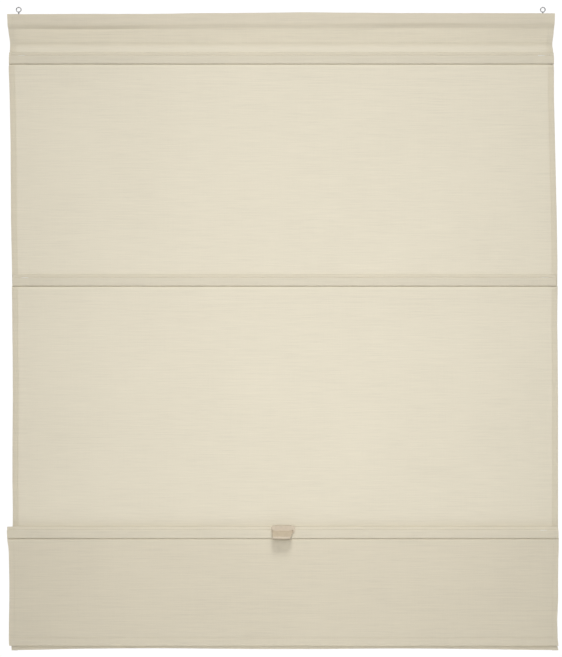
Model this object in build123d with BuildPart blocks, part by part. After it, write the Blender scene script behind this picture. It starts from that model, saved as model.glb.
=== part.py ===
from build123d import *
import os

# Cordless roman blind, 100 cm wide, hung from two screw eyes.
# Frame: the origin is midway between the centres of the two screw eyes,
# +X to the right as seen from the room, -Y towards the room, +Z up.
# Millimetres.

# ---- driving dimensions -------------------------------------------------
eye_spacing = 959.0        # centre to centre of the two screw eyes
eye_ring_r = 4.3           # centre line of the wire ring
eye_wire_r = 0.95
eye_bore_r = 3.4           # clear hole of the ring
eye_shank_r = 1.2
eye_shank_end = -24.0

cloth_t = 0.8              # cloth, held a little thick so it stays a sound solid
hem_w = 11.0               # side hems
bottom_hem_h = 16.0

header_top = -6.0          # top edge of the cloth
crease_z = -62.0           # seam that closes the sleeve of the top batten
sleeve_half = 6.2          # half depth of the sleeve round the batten

batten_len, batten_h, batten_t = 980.0, 18.0, 10.0
batten_top = -9.2

groove_1 = -100.5          # seam at the foot of each rod tuck
groove_2 = -506.4
groove_3 = -966.6
groove_4 = -966.6
tuck_h = 22.0              # height of a tuck above its seam
tuck_d = 5.3               # how far a tuck's face stands in front of its cloth
plane_4 = -8.2             # the fourth tuck stands this far in front

fold_bottom = -1171.9      # lowest point of the turned-up fold
skirt_bottom = -1163.6     # lower edge of the front fall

rod_len, rod_h, rod_t = 960.0, 13.8, 2.0
rod_foot = 1.9             # rod's lower edge above the seam
rod_back = 2.1             # rod's rear face in front of the cloth
magnet_r, magnet_t = 5.0, 2.4
magnet_x = (-420.0, -140.0, 140.0, 420.0)
magnet_gap = 0.05
cap_len, cap_h, cap_t = 14.0, 14.8, 2.6
cap_gap = 0.05

handle_x = 4.4             # the pull sits a little right of the middle
handle_w, handle_h, handle_t = 43.5, 21.6, 1.9
handle_top = -942.6
lip_reach = 20.0           # how far the pull stands out from its plate

# widths: left and right edges of the cloth at each height, because the
# blind hangs a few millimetres out of true
head_l, head_r = -499.8, 500.5
crease_l, crease_r = -495.4, 496.6
tuck1_l, tuck1_r = -496.4, 498.8
tuck2_l, tuck2_r = -491.3, 506.4
tuck3_l, tuck3_r = -490.8, 507.2
tuck4_l, tuck4_r = -498.8, 505.8
skirt_l, skirt_r = -495.9, 504.8
fold_l, fold_r = -492.4, 507.6

half = cloth_t / 2.0
root = 0.6                 # half height of the sewn foot of a tuck
gap = 0.3                  # clearance between cloths on different bars


def tuck_outline(groove, plane, foot_back):
    """Closed outline (y, z) of a sewn tuck that stands up from its seam."""
    return [
        (plane + foot_back, groove - root),
        (plane + foot_back, groove + root),
        (plane - 0.7, groove + root),
        (plane - 0.7, groove + tuck_h),
        (plane - 2.3, groove + tuck_h),
        (plane - 2.3, groove + 18.2),
        (plane - tuck_d, groove + 16.9),
        (plane - tuck_d, groove + 1.0),
        (plane - tuck_d + 1.1, groove - 0.2),
        (plane - 2.2, groove - root),
    ]


def tuck_tunnel(groove, plane):
    """Closed outline (y, z) of the tunnel inside a tuck."""
    return [
        (plane - 1.5, groove + 0.9),
        (plane - 1.5, groove + 16.9),
        (plane - tuck_d + 0.8, groove + 16.2),
        (plane - tuck_d + 0.8, groove + 0.9),
    ]


# ---- top batten ---------------------------------------------------------
with BuildPart() as top_batten:
    with BuildSketch(Plane.YZ.offset(-batten_len / 2.0)):
        with Locations((0.0, batten_top - batten_h / 2.0)):
            RectangleRounded(batten_t, batten_h, 1.5)
    extrude(amount=batten_len)
    # pilot holes for the two screw eyes
    with Locations(Plane.XY.offset(batten_top)):
        with Locations((-eye_spacing / 2.0, 0.0), (eye_spacing / 2.0, 0.0)):
            Hole(eye_shank_r + 0.03, depth=batten_top - eye_shank_end + 1.0)
    # softened long ends
    chamfer(top_batten.edges().filter_by(Axis.Y).group_by(Axis.X)[0], 0.6)
    chamfer(top_batten.edges().filter_by(Axis.Y).group_by(Axis.X)[-1], 0.6)

# ---- screw eyes ---------------------------------------------------------
with BuildPart() as screw_eye_left:
    with BuildSketch(Plane.XY) as section_l:
        with Locations((-eye_spacing / 2.0 + eye_ring_r, 0.0)):
            Circle(eye_wire_r)
    revolve(axis=Axis((-eye_spacing / 2.0, 0, 0), (0, 1, 0)), revolution_arc=360)
    with BuildSketch(Plane.XY.offset(-eye_ring_r)):
        with Locations((-eye_spacing / 2.0, 0.0)):
            Circle(eye_shank_r)
    extrude(amount=-(abs(eye_shank_end) - eye_ring_r - 3.0))
    with BuildSketch(Plane.XY.offset(eye_shank_end + 3.0)):
        with Locations((-eye_spacing / 2.0, 0.0)):
            Circle(eye_shank_r)
    with BuildSketch(Plane.XY.offset(eye_shank_end)):
        with Locations((-eye_spacing / 2.0, 0.0)):
            Circle(0.25)
    loft()
    # bright inner land of the ring, which a hook bears on
    with BuildSketch(Plane.XZ.offset(-3.0)):
        with Locations((-eye_spacing / 2.0, 0.0)):
            Circle(eye_bore_r)
    extrude(amount=6.0, mode=Mode.SUBTRACT)

with BuildPart() as screw_eye_right:
    mirror(screw_eye_left.part, about=Plane.YZ)

# ---- head cloth: sleeve round the batten, and the first tuck ------------
with BuildPart() as header_cloth:
    with BuildSketch(Plane.YZ.offset(head_l)):
        with BuildLine():
            Polyline(
                (-4.8, header_top), (4.8, header_top),
                (sleeve_half, header_top - 1.6), (sleeve_half, header_top - 22.6),
                (2.4, crease_z + 12.0), (0.9, crease_z),
                (half, crease_z), (half, groove_1 - root),
                (-2.2, groove_1 - root),
                (-tuck_d + 1.1, groove_1 - 0.2), (-tuck_d, groove_1 + 1.0),
                (-tuck_d, groove_1 + 16.9), (-2.3, groove_1 + 18.2),
                (-2.3, groove_1 + tuck_h), (-0.7, groove_1 + tuck_h),
                (-0.7, groove_1 + root), (-half, groove_1 + root),
                (-half, crease_z), (-0.9, crease_z),
                (-2.4, crease_z + 12.0), (-sleeve_half, header_top - 22.6),
                (-sleeve_half, header_top - 1.6), close=True,
            )
        make_face()
        with BuildLine():
            Polyline(
                (-4.5, header_top - cloth_t), (4.5, header_top - cloth_t),
                (sleeve_half - cloth_t, header_top - 1.8),
                (sleeve_half - cloth_t, header_top - 22.5),
                (1.6, crease_z + 12.2), (0.0, crease_z + 3.0),
                (-1.6, crease_z + 12.2),
                (-sleeve_half + cloth_t, header_top - 22.5),
                (-sleeve_half + cloth_t, header_top - 1.8), close=True,
            )
        make_face(mode=Mode.SUBTRACT)
        with BuildLine():
            Polyline(*tuck_tunnel(groove_1, 0.0), close=True)
        make_face(mode=Mode.SUBTRACT)
    extrude(amount=head_r - head_l)
    # the sides of the head cloth lean in a little from the top to the tuck
    with BuildSketch(Plane.XZ.offset(-20.0)):
        with BuildLine():
            Polyline(
                (head_l - 5.0, header_top + 5.0), (head_l, header_top),
                (crease_l, crease_z), (tuck1_l, groove_1),
                (tuck1_l, groove_1 - 5.0), (head_l - 5.0, groove_1 - 5.0), close=True,
            )
        make_face()
        with BuildLine():
            Polyline(
                (head_r + 5.0, header_top + 5.0), (head_r, header_top),
                (crease_r, crease_z), (tuck1_r, groove_1),
                (tuck1_r, groove_1 - 5.0), (head_r + 5.0, groove_1 - 5.0), close=True,
            )
        make_face()
    extrude(amount=40.0, mode=Mode.SUBTRACT)
    # small holes where the screw eyes pass through the cloth
    with BuildSketch(Plane.XY.offset(header_top + 1.0)):
        with Locations((-eye_spacing / 2.0, 0.0), (eye_spacing / 2.0, 0.0)):
            Circle(eye_shank_r + 0.1)
    extrude(amount=-3.0, mode=Mode.SUBTRACT)

# ---- upper panel: from the first tuck down to the second ----------------
with BuildPart() as upper_panel:
    with BuildSketch(Plane.XZ.offset(-half)):
        with BuildLine():
            Polyline(
                (tuck1_l, groove_1 - root), (tuck1_r, groove_1 - root),
                (tuck2_r, groove_2 + root + gap), (tuck2_l, groove_2 + root + gap),
                close=True,
            )
        make_face()
    extrude(amount=cloth_t)
    with BuildSketch(Plane.XZ.offset(-half - cloth_t)):
        with BuildLine():
            Polyline(
                (tuck1_l, groove_1 - root), (tuck1_l + hem_w, groove_1 - root),
                (tuck2_l + hem_w, groove_2 + root + gap),
                (tuck2_l, groove_2 + root + gap), close=True,
            )
        make_face()
        with BuildLine():
            Polyline(
                (tuck1_r - hem_w, groove_1 - root), (tuck1_r, groove_1 - root),
                (tuck2_r, groove_2 + root + gap),
                (tuck2_r - hem_w, groove_2 + root + gap), close=True,
            )
        make_face()
    extrude(amount=cloth_t)

# ---- second tuck --------------------------------------------------------
with BuildPart() as tuck_2:
    with BuildSketch(Plane.YZ.offset(tuck2_l)):
        with BuildLine():
            Polyline(*tuck_outline(groove_2, 0.0, half), close=True)
        make_face()
        with BuildLine():
            Polyline(*tuck_tunnel(groove_2, 0.0), close=True)
        make_face(mode=Mode.SUBTRACT)
    extrude(amount=tuck2_r - tuck2_l)

# ---- middle panel: from the second tuck down to the third ---------------
with BuildPart() as middle_panel:
    with BuildSketch(Plane.XZ.offset(-half)):
        with BuildLine():
            Polyline(
                (tuck2_l, groove_2 - root), (tuck2_r, groove_2 - root),
                (tuck3_r, groove_3 + root + gap), (tuck3_l, groove_3 + root + gap),
                close=True,
            )
        make_face()
    extrude(amount=cloth_t)
    with BuildSketch(Plane.XZ.offset(-half - cloth_t)):
        with BuildLine():
            Polyline(
                (tuck2_l, groove_2 - root), (tuck2_l + hem_w, groove_2 - root),
                (tuck3_l + hem_w, groove_3 + root + gap),
                (tuck3_l, groove_3 + root + gap), close=True,
            )
        make_face()
        with BuildLine():
            Polyline(
                (tuck2_r - hem_w, groove_2 - root), (tuck2_r, groove_2 - root),
                (tuck3_r, groove_3 + root + gap),
                (tuck3_r - hem_w, groove_3 + root + gap), close=True,
            )
        make_face()
    extrude(amount=cloth_t)

# ---- third tuck, hidden behind the fourth -------------------------------
with BuildPart() as tuck_3:
    with BuildSketch(Plane.YZ.offset(tuck3_l)):
        with BuildLine():
            Polyline(*tuck_outline(groove_3, 0.0, half), close=True)
        make_face()
        with BuildLine():
            Polyline(*tuck_tunnel(groove_3, 0.0), close=True)
        make_face(mode=Mode.SUBTRACT)
    extrude(amount=tuck3_r - tuck3_l)

# ---- fold loop: down from the third tuck, turned up to the fourth -------
loop_front = -6.5          # middle of the rising layer, at the fourth tuck
with BuildPart() as fold_loop:
    with BuildSketch(Plane.YZ.offset(fold_l)):
        with BuildLine():
            Polyline(
                (half, groove_3 - root), (half, fold_bottom + 1.6),
                (-0.3, fold_bottom + 0.5), (-1.4, fold_bottom),
                (-2.5, fold_bottom + 0.5), (-3.2, fold_bottom + 1.6),
                (loop_front - half, groove_4 - root - gap),
                (loop_front + half, groove_4 - root - gap),
                (-2.4, fold_bottom + 1.8), (-1.9, fold_bottom + 1.1),
                (-1.4, fold_bottom + 0.8), (-0.9, fold_bottom + 1.1),
                (-half, fold_bottom + 1.8), (-half, groove_3 - root), close=True,
            )
        make_face()
    extrude(amount=fold_r - fold_l)

# ---- front fall: the fourth tuck and the skirt that hangs from it -------
skirt_y = plane_4 - 0.8    # middle of the skirt's cloth
with BuildPart() as front_skirt:
    with BuildSketch(Plane.YZ.offset(tuck4_l)):
        with BuildLine():
            Polyline(
                (loop_front - half, groove_4 - root),
                (loop_front - half, groove_4 + root),
                (plane_4 - 0.7, groove_4 + root),
                (plane_4 - 0.7, groove_4 + tuck_h),
                (plane_4 - 2.3, groove_4 + tuck_h),
                (plane_4 - 2.3, groove_4 + 18.2),
                (plane_4 - tuck_d, groove_4 + 16.9),
                (plane_4 - tuck_d, groove_4 + 1.0),
                (plane_4 - tuck_d + 1.1, groove_4 - 0.2),
                (skirt_y - half, groove_4 - 1.6),
                (skirt_y - half, groove_4 - 4.0),
                (skirt_y + half, groove_4 - 4.0),
                (skirt_y + half, groove_4 - root), close=True,
            )
        make_face()
        with BuildLine():
            Polyline(*tuck_tunnel(groove_4, plane_4), close=True)
        make_face(mode=Mode.SUBTRACT)
    extrude(amount=tuck4_r - tuck4_l)
    with BuildSketch(Plane.XZ.offset(-skirt_y - half)):
        with BuildLine():
            Polyline(
                (tuck4_l, groove_4 - 4.0), (tuck4_r, groove_4 - 4.0),
                (skirt_r, skirt_bottom), (skirt_l, skirt_bottom), close=True,
            )
        make_face()
    extrude(amount=cloth_t)
    # turned hems on the window side of the skirt
    with BuildSketch(Plane.XZ.offset(-skirt_y - half - cloth_t)):
        with BuildLine():
            Polyline(
                (tuck4_l, groove_4 - 4.0), (tuck4_l + hem_w, groove_4 - 4.0),
                (skirt_l + hem_w, skirt_bottom + bottom_hem_h),
                (skirt_r - hem_w, skirt_bottom + bottom_hem_h),
                (tuck4_r - hem_w, groove_4 - 4.0), (tuck4_r, groove_4 - 4.0),
                (skirt_r, skirt_bottom), (skirt_l, skirt_bottom), close=True,
            )
        make_face()
    extrude(amount=cloth_t)

# ---- rods ---------------------------------------------------------------
centre_1 = (tuck1_l + tuck1_r) / 2.0
centre_2 = (tuck2_l + tuck2_r) / 2.0
centre_3 = (tuck3_l + tuck3_r) / 2.0
centre_4 = (tuck4_l + tuck4_r) / 2.0
rod_mid = rod_foot + rod_h / 2.0

with BuildPart() as rod_1:
    with BuildSketch(Plane.XZ.offset(rod_back)):
        with Locations((centre_1, groove_1 + rod_mid)):
            RectangleRounded(rod_len, rod_h, 1.0)
            with Locations(*[(x, 0.0) for x in magnet_x]):
                Circle(magnet_r + magnet_gap, mode=Mode.SUBTRACT)
    extrude(amount=rod_t)

with BuildPart() as rod_2:
    with BuildSketch(Plane.XZ.offset(rod_back)):
        with Locations((centre_2, groove_2 + rod_mid)):
            RectangleRounded(rod_len, rod_h, 1.0)
            with Locations(*[(x, 0.0) for x in magnet_x]):
                Circle(magnet_r + magnet_gap, mode=Mode.SUBTRACT)
    extrude(amount=rod_t)

with BuildPart() as rod_3:
    with BuildSketch(Plane.XZ.offset(rod_back)):
        with Locations((centre_3, groove_3 + rod_mid)):
            RectangleRounded(rod_len, rod_h, 1.0)
            with Locations(*[(x, 0.0) for x in magnet_x]):
                Circle(magnet_r + magnet_gap, mode=Mode.SUBTRACT)
    extrude(amount=rod_t)

with BuildPart() as rod_4:
    with BuildSketch(Plane.XZ.offset(rod_back - plane_4)):
        with Locations((centre_4, groove_4 + rod_mid)):
            RectangleRounded(rod_len, rod_h, 1.0)
            with Locations(*[(x, 0.0) for x in magnet_x]):
                Circle(magnet_r + magnet_gap, mode=Mode.SUBTRACT)
    extrude(amount=rod_t)

# ---- magnets: four discs pressed through each rod -----------------------
magnet_back = rod_back - (magnet_t - rod_t) / 2.0

with BuildPart() as rod_1_magnets:
    with BuildSketch(Plane.XZ.offset(magnet_back)):
        with Locations(*[(centre_1 + x, groove_1 + rod_mid) for x in magnet_x]):
            Circle(magnet_r)
    extrude(amount=magnet_t)

with BuildPart() as rod_2_magnets:
    with BuildSketch(Plane.XZ.offset(magnet_back)):
        with Locations(*[(centre_2 + x, groove_2 + rod_mid) for x in magnet_x]):
            Circle(magnet_r)
    extrude(amount=magnet_t)

with BuildPart() as rod_3_magnets:
    with BuildSketch(Plane.XZ.offset(magnet_back)):
        with Locations(*[(centre_3 + x, groove_3 + rod_mid) for x in magnet_x]):
            Circle(magnet_r)
    extrude(amount=magnet_t)

with BuildPart() as rod_4_magnets:
    with BuildSketch(Plane.XZ.offset(magnet_back - plane_4)):
        with Locations(*[(centre_4 + x, groove_4 + rod_mid) for x in magnet_x]):
            Circle(magnet_r)
    extrude(amount=magnet_t)

# ---- end caps: one soft cap over each end of each rod -------------------
cap_back = rod_back - (cap_t - rod_t) / 2.0

with BuildPart() as rod_1_end_caps:
    with BuildSketch(Plane.XZ.offset(cap_back)):
        with Locations((centre_1 - rod_len / 2.0 + cap_len / 2.0 - 2.0, groove_1 + rod_mid),
                       (centre_1 + rod_len / 2.0 - cap_len / 2.0 + 2.0, groove_1 + rod_mid)):
            RectangleRounded(cap_len, cap_h, 1.6)
    extrude(amount=cap_t)
    with BuildSketch(Plane.XZ.offset(rod_back - cap_gap)):
        with Locations((centre_1, groove_1 + rod_mid)):
            RectangleRounded(rod_len + 2.0 * cap_gap, rod_h + 2.0 * cap_gap, 1.0)
    extrude(amount=rod_t + 2.0 * cap_gap, mode=Mode.SUBTRACT)

with BuildPart() as rod_2_end_caps:
    with BuildSketch(Plane.XZ.offset(cap_back)):
        with Locations((centre_2 - rod_len / 2.0 + cap_len / 2.0 - 2.0, groove_2 + rod_mid),
                       (centre_2 + rod_len / 2.0 - cap_len / 2.0 + 2.0, groove_2 + rod_mid)):
            RectangleRounded(cap_len, cap_h, 1.6)
    extrude(amount=cap_t)
    with BuildSketch(Plane.XZ.offset(rod_back - cap_gap)):
        with Locations((centre_2, groove_2 + rod_mid)):
            RectangleRounded(rod_len + 2.0 * cap_gap, rod_h + 2.0 * cap_gap, 1.0)
    extrude(amount=rod_t + 2.0 * cap_gap, mode=Mode.SUBTRACT)

with BuildPart() as rod_3_end_caps:
    with BuildSketch(Plane.XZ.offset(cap_back)):
        with Locations((centre_3 - rod_len / 2.0 + cap_len / 2.0 - 2.0, groove_3 + rod_mid),
                       (centre_3 + rod_len / 2.0 - cap_len / 2.0 + 2.0, groove_3 + rod_mid)):
            RectangleRounded(cap_len, cap_h, 1.6)
    extrude(amount=cap_t)
    with BuildSketch(Plane.XZ.offset(rod_back - cap_gap)):
        with Locations((centre_3, groove_3 + rod_mid)):
            RectangleRounded(rod_len + 2.0 * cap_gap, rod_h + 2.0 * cap_gap, 1.0)
    extrude(amount=rod_t + 2.0 * cap_gap, mode=Mode.SUBTRACT)

with BuildPart() as rod_4_end_caps:
    with BuildSketch(Plane.XZ.offset(cap_back - plane_4)):
        with Locations((centre_4 - rod_len / 2.0 + cap_len / 2.0 - 2.0, groove_4 + rod_mid),
                       (centre_4 + rod_len / 2.0 - cap_len / 2.0 + 2.0, groove_4 + rod_mid)):
            RectangleRounded(cap_len, cap_h, 1.6)
    extrude(amount=cap_t)
    with BuildSketch(Plane.XZ.offset(rod_back - plane_4 - cap_gap)):
        with Locations((centre_4, groove_4 + rod_mid)):
            RectangleRounded(rod_len + 2.0 * cap_gap, rod_h + 2.0 * cap_gap, 1.0)
    extrude(amount=rod_t + 2.0 * cap_gap, mode=Mode.SUBTRACT)

# ---- pull handle: one moulding that clips over the fourth tuck ----------
plate_back = -plane_4 + tuck_d + gap       # distance in front of the eyes' plane
plate_front = plate_back + handle_t
plate_foot = handle_top - 12.2
leg_back, leg_front = 7.0, 8.2             # rear leg, between tucks three and four
leg_foot = -962.0
slope_z0 = handle_top - 8.6                # where the hood leaves the plate
slope_z1 = handle_top - 16.6               # hood at the lip
lip_foot = handle_top - 20.9
wall = 1.9

# hollow of the hood, open at the bottom
with BuildPart() as hood_hollow:
    with BuildSketch(Plane.XZ.offset(plate_front)):
        with BuildLine():
            Polyline(
                (handle_x - 18.4, slope_z0), (handle_x + 18.0, slope_z0),
                (handle_x + 8.9, lip_foot), (handle_x + 8.9, lip_foot - 3.0),
                (handle_x - 17.0, lip_foot - 3.0), (handle_x - 17.0, lip_foot),
                close=True,
            )
        make_face()
    extrude(amount=lip_reach - wall)
    with BuildSketch(Plane.YZ.offset(handle_x - 30.0)):
        with BuildLine():
            Polyline(
                (-plate_front, slope_z0 - wall - 0.2),
                (-plate_front - lip_reach - 6.0, slope_z0 - wall - 0.2 + (slope_z1 - slope_z0) * (lip_reach + 6.0) / lip_reach),
                (-plate_front - lip_reach - 6.0, slope_z0 + 6.0),
                (-plate_front, slope_z0 + 6.0), close=True,
            )
        make_face()
    extrude(amount=60.0, mode=Mode.SUBTRACT)

with BuildPart() as handle:
    # hood and lip: upright on the left, slanted away on the right
    with BuildSketch(Plane.XZ.offset(plate_back)):
        with BuildLine():
            Polyline(
                (handle_x - 20.6, slope_z0 + 1.0), (handle_x + 20.4, slope_z0 + 1.0),
                (handle_x + 11.2, lip_foot), (handle_x - 19.2, lip_foot), close=True,
            )
        hood_face = make_face()
        fillet(hood_face.vertices().group_by(Axis.Y)[0], 3.4)
    extrude(amount=handle_t + lip_reach)
    with BuildSketch(Plane.YZ.offset(handle_x - 30.0)):
        with BuildLine():
            Polyline(
                (-plate_front, slope_z0),
                (-plate_front - lip_reach - 6.0, slope_z0 + (slope_z1 - slope_z0) * (lip_reach + 6.0) / lip_reach),
                (-plate_front - lip_reach - 6.0, slope_z0 + 8.0),
                (-plate_front, slope_z0 + 8.0), close=True,
            )
        make_face()
    extrude(amount=60.0, mode=Mode.SUBTRACT)
    # rounded front corners of the lip
    fillet(handle.edges().filter_by(lambda e: abs(e.center().Y + plate_front + lip_reach) < 0.3 and abs(e.center().X - handle_x) > 10.5), 1.2)
    # softened upper and lower edges of the lip
    fillet(handle.edges().group_by(Axis.Y)[0], 0.9)
    # front plate
    with BuildSketch(Plane.XZ.offset(plate_back)):
        with Locations((handle_x, (handle_top + plate_foot) / 2.0)):
            RectangleRounded(handle_w, handle_top - plate_foot, 3.6)
    extrude(amount=handle_t)
    # small notches at the ends, where the hood leaves the plate
    with BuildSketch(Plane.XZ.offset(plate_back)):
        with Locations((handle_x - 19.6, slope_z0 + 1.0), (handle_x + 17.0, slope_z0 + 1.0)):
            SlotOverall(2.6, 1.7)
    extrude(amount=handle_t + 2.0, mode=Mode.SUBTRACT)
    # bridge over the top of the tuck, and the rear leg with its small barb
    with BuildSketch(Plane.YZ.offset(handle_x - 15.0)):
        with BuildLine():
            Polyline(
                (-leg_back, handle_top - 0.6), (-leg_back - 0.6, handle_top),
                (-plate_front + 0.6, handle_top), (-plate_front, handle_top - 0.6),
                (-plate_front, handle_top - 1.6), (-leg_front, handle_top - 1.6),
                (-leg_front, leg_foot + 2.4), (-leg_front - 0.4, leg_foot + 1.2),
                (-leg_front, leg_foot), (-leg_back, leg_foot), close=True,
            )
        make_face()
    extrude(amount=30.0)
    add(hood_hollow.part, mode=Mode.SUBTRACT)

# ---- labels and files ---------------------------------------------------
header_cloth.part.label = "header_cloth"
top_batten.part.label = "top_batten"
screw_eye_left.part.label = "screw_eye_left"
screw_eye_right.part.label = "screw_eye_right"
upper_panel.part.label = "upper_panel"
tuck_2.part.label = "tuck_2"
middle_panel.part.label = "middle_panel"
tuck_3.part.label = "tuck_3"
fold_loop.part.label = "fold_loop"
front_skirt.part.label = "front_skirt"
rod_1.part.label = "rod_1"
rod_2.part.label = "rod_2"
rod_3.part.label = "rod_3"
rod_4.part.label = "rod_4"
rod_1_magnets.part.label = "rod_1_magnets"
rod_2_magnets.part.label = "rod_2_magnets"
rod_3_magnets.part.label = "rod_3_magnets"
rod_4_magnets.part.label = "rod_4_magnets"
rod_1_end_caps.part.label = "rod_1_end_caps"
rod_2_end_caps.part.label = "rod_2_end_caps"
rod_3_end_caps.part.label = "rod_3_end_caps"
rod_4_end_caps.part.label = "rod_4_end_caps"
handle.part.label = "handle"

os.makedirs("parts", exist_ok=True)
export_step(header_cloth.part, "parts/header_cloth.step")
export_step(top_batten.part, "parts/top_batten.step")
export_step(screw_eye_left.part, "parts/screw_eye_left.step")
export_step(screw_eye_right.part, "parts/screw_eye_right.step")
export_step(upper_panel.part, "parts/upper_panel.step")
export_step(tuck_2.part, "parts/tuck_2.step")
export_step(middle_panel.part, "parts/middle_panel.step")
export_step(tuck_3.part, "parts/tuck_3.step")
export_step(fold_loop.part, "parts/fold_loop.step")
export_step(front_skirt.part, "parts/front_skirt.step")
export_step(rod_1.part, "parts/rod_1.step")
export_step(rod_2.part, "parts/rod_2.step")
export_step(rod_3.part, "parts/rod_3.step")
export_step(rod_4.part, "parts/rod_4.step")
export_step(rod_1_magnets.part, "parts/rod_1_magnets.step")
export_step(rod_2_magnets.part, "parts/rod_2_magnets.step")
export_step(rod_3_magnets.part, "parts/rod_3_magnets.step")
export_step(rod_4_magnets.part, "parts/rod_4_magnets.step")
export_step(rod_1_end_caps.part, "parts/rod_1_end_caps.step")
export_step(rod_2_end_caps.part, "parts/rod_2_end_caps.step")
export_step(rod_3_end_caps.part, "parts/rod_3_end_caps.step")
export_step(rod_4_end_caps.part, "parts/rod_4_end_caps.step")
export_step(handle.part, "parts/handle.step")
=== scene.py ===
import math

import bmesh
import bpy
import numpy as np
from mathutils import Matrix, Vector


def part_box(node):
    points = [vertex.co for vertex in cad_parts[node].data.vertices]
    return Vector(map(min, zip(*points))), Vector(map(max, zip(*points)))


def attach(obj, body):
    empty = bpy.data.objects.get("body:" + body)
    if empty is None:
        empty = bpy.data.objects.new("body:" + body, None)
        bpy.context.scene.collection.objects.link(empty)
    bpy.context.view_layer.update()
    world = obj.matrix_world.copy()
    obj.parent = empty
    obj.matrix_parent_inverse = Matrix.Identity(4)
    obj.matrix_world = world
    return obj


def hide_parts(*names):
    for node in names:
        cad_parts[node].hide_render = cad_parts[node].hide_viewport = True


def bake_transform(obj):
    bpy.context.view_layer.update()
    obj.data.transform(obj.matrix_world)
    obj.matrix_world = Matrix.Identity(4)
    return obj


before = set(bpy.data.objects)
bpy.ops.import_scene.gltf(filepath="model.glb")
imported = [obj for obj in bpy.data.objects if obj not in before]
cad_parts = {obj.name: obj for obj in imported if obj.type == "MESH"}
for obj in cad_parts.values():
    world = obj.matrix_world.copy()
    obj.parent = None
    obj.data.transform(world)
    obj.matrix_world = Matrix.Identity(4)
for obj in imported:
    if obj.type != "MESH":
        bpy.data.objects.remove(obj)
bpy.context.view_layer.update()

scene = bpy.context.scene
scene.view_settings.view_transform = "Standard"
scene.view_settings.look = "None"
scene.view_settings.exposure = 0.0
scene.view_settings.gamma = 1.0


# ------------------------------------------------------------------ places
def node_box(name):
    lo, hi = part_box(name)
    return np.array(lo, float), np.array(hi, float)


HEAD_LO, HEAD_HI = node_box("header_cloth")
UP_LO, UP_HI = node_box("upper_panel")
T2_LO, T2_HI = node_box("tuck_2")
T3_LO, T3_HI = node_box("tuck_3")
MID_LO, MID_HI = node_box("middle_panel")
LOOP_LO, LOOP_HI = node_box("fold_loop")
SK_LO, SK_HI = node_box("front_skirt")
R1_LO, R1_HI = node_box("rod_1")
R2_LO, R2_HI = node_box("rod_2")
R3_LO, R3_HI = node_box("rod_3")
R4_LO, R4_HI = node_box("rod_4")
EYE_L, EYE_R = node_box("screw_eye_left"), node_box("screw_eye_right")
HAND_LO, HAND_HI = node_box("handle")

FOOT = 0.0019                      # a rod's lower edge stands this far above its seam
G1 = R1_LO[2] - FOOT               # the seam at the foot of each tuck
G2 = R2_LO[2] - FOOT
G3 = R3_LO[2] - FOOT
G4 = R4_LO[2] - FOOT
TUCK = 0.022
PLANE4 = R4_HI[1] - R1_HI[1]       # how far the fourth tuck stands in front
TOP = HEAD_HI[2]
LOOP_END = LOOP_LO[2]
SKIRT_END = SK_LO[2]
SKIRT_Y = PLANE4 - 0.0008
CREASE = -0.062
THICK = 0.00045                    # the real cloth's thickness
HEM = 0.011


def lerp_table(z, table):
    """Smooth interpolation of (height, value) pairs, heights falling."""
    zs = np.array([t[0] for t in table])[::-1]
    vs = np.array([t[1] for t in table])[::-1]
    return np.interp(z, zs, vs)


mid1 = (R1_LO[0] + R1_HI[0]) / 2
left1 = UP_LO[0]
right1 = 2 * mid1 - left1
HL, HR = HEAD_LO[0], HEAD_HI[0]
LEFT = [(TOP, HL + 0.0003), (-0.0300, HL + 0.0010), (-0.0440, HL + 0.0024), (CREASE + 0.002, HL + 0.0046), (-0.0680, HL + 0.0045),
        (-0.0740, HL + 0.0042), (-0.0850, left1 + 0.0003), (G1 + 0.002, left1 - 0.0001), (G1 - 0.008, left1 - 0.0008),
        (-0.165, left1 + 0.0005), (-0.24, left1 + 0.0020), (-0.31, left1 + 0.0025), (-0.385, left1 + 0.0030), (-0.458, left1 + 0.0044),
        (G2, T2_LO[0] + 0.0001), (-0.57, T2_LO[0] + 0.0000), (-0.64, T2_LO[0] + 0.0009), (-0.714, T2_LO[0] + 0.0012),
        (-0.787, T2_LO[0] + 0.0006), (-0.86, T2_LO[0] + 0.0004), (-0.915, T2_LO[0] + 0.0011), (G3, T3_LO[0] + 0.0001), (-1.30, T3_LO[0] + 0.0003)]
RIGHT = [(TOP, HR + 0.0001), (-0.0300, HR - 0.0008), (-0.0450, HR - 0.0019), (CREASE + 0.002, HR - 0.0039), (-0.0670, HR - 0.0037),
         (-0.0740, HR - 0.0023), (-0.0850, right1 - 0.0008), (G1 + 0.002, right1 - 0.0002), (-0.114, right1 + 0.0004),
         (-0.165, right1 + 0.0010), (-0.24, right1 + 0.0028), (-0.31, right1 + 0.0044), (-0.385, right1 + 0.0062),
         (-0.458, right1 + 0.0073), (G2, T2_HI[0] - 0.0006), (-0.57, T2_HI[0] - 0.0006), (-0.64, T2_HI[0] + 0.0002),
         (-0.714, T2_HI[0] + 0.0008), (-0.787, T2_HI[0] + 0.0007), (-0.915, T2_HI[0] + 0.0008), (G3, T3_HI[0]), (-1.30, T3_HI[0])]


def edge_left(z):
    return lerp_table(z, LEFT)


def edge_right(z):
    return lerp_table(z, RIGHT)


def wob(x, seed, scale, octaves=4):
    """A smooth wandering curve between about -1 and 1, the same each run."""
    rng = np.random.RandomState(seed)
    total, norm = np.zeros_like(np.asarray(x, float)), 0.0
    for k in range(octaves):
        f = (2 ** k) / scale
        a = 0.6 ** k
        total = total + a * np.sin(2 * math.pi * (np.asarray(x) * f * (1 + 0.13 * rng.rand()) + rng.rand()))
        norm += a
    return total / norm


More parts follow.
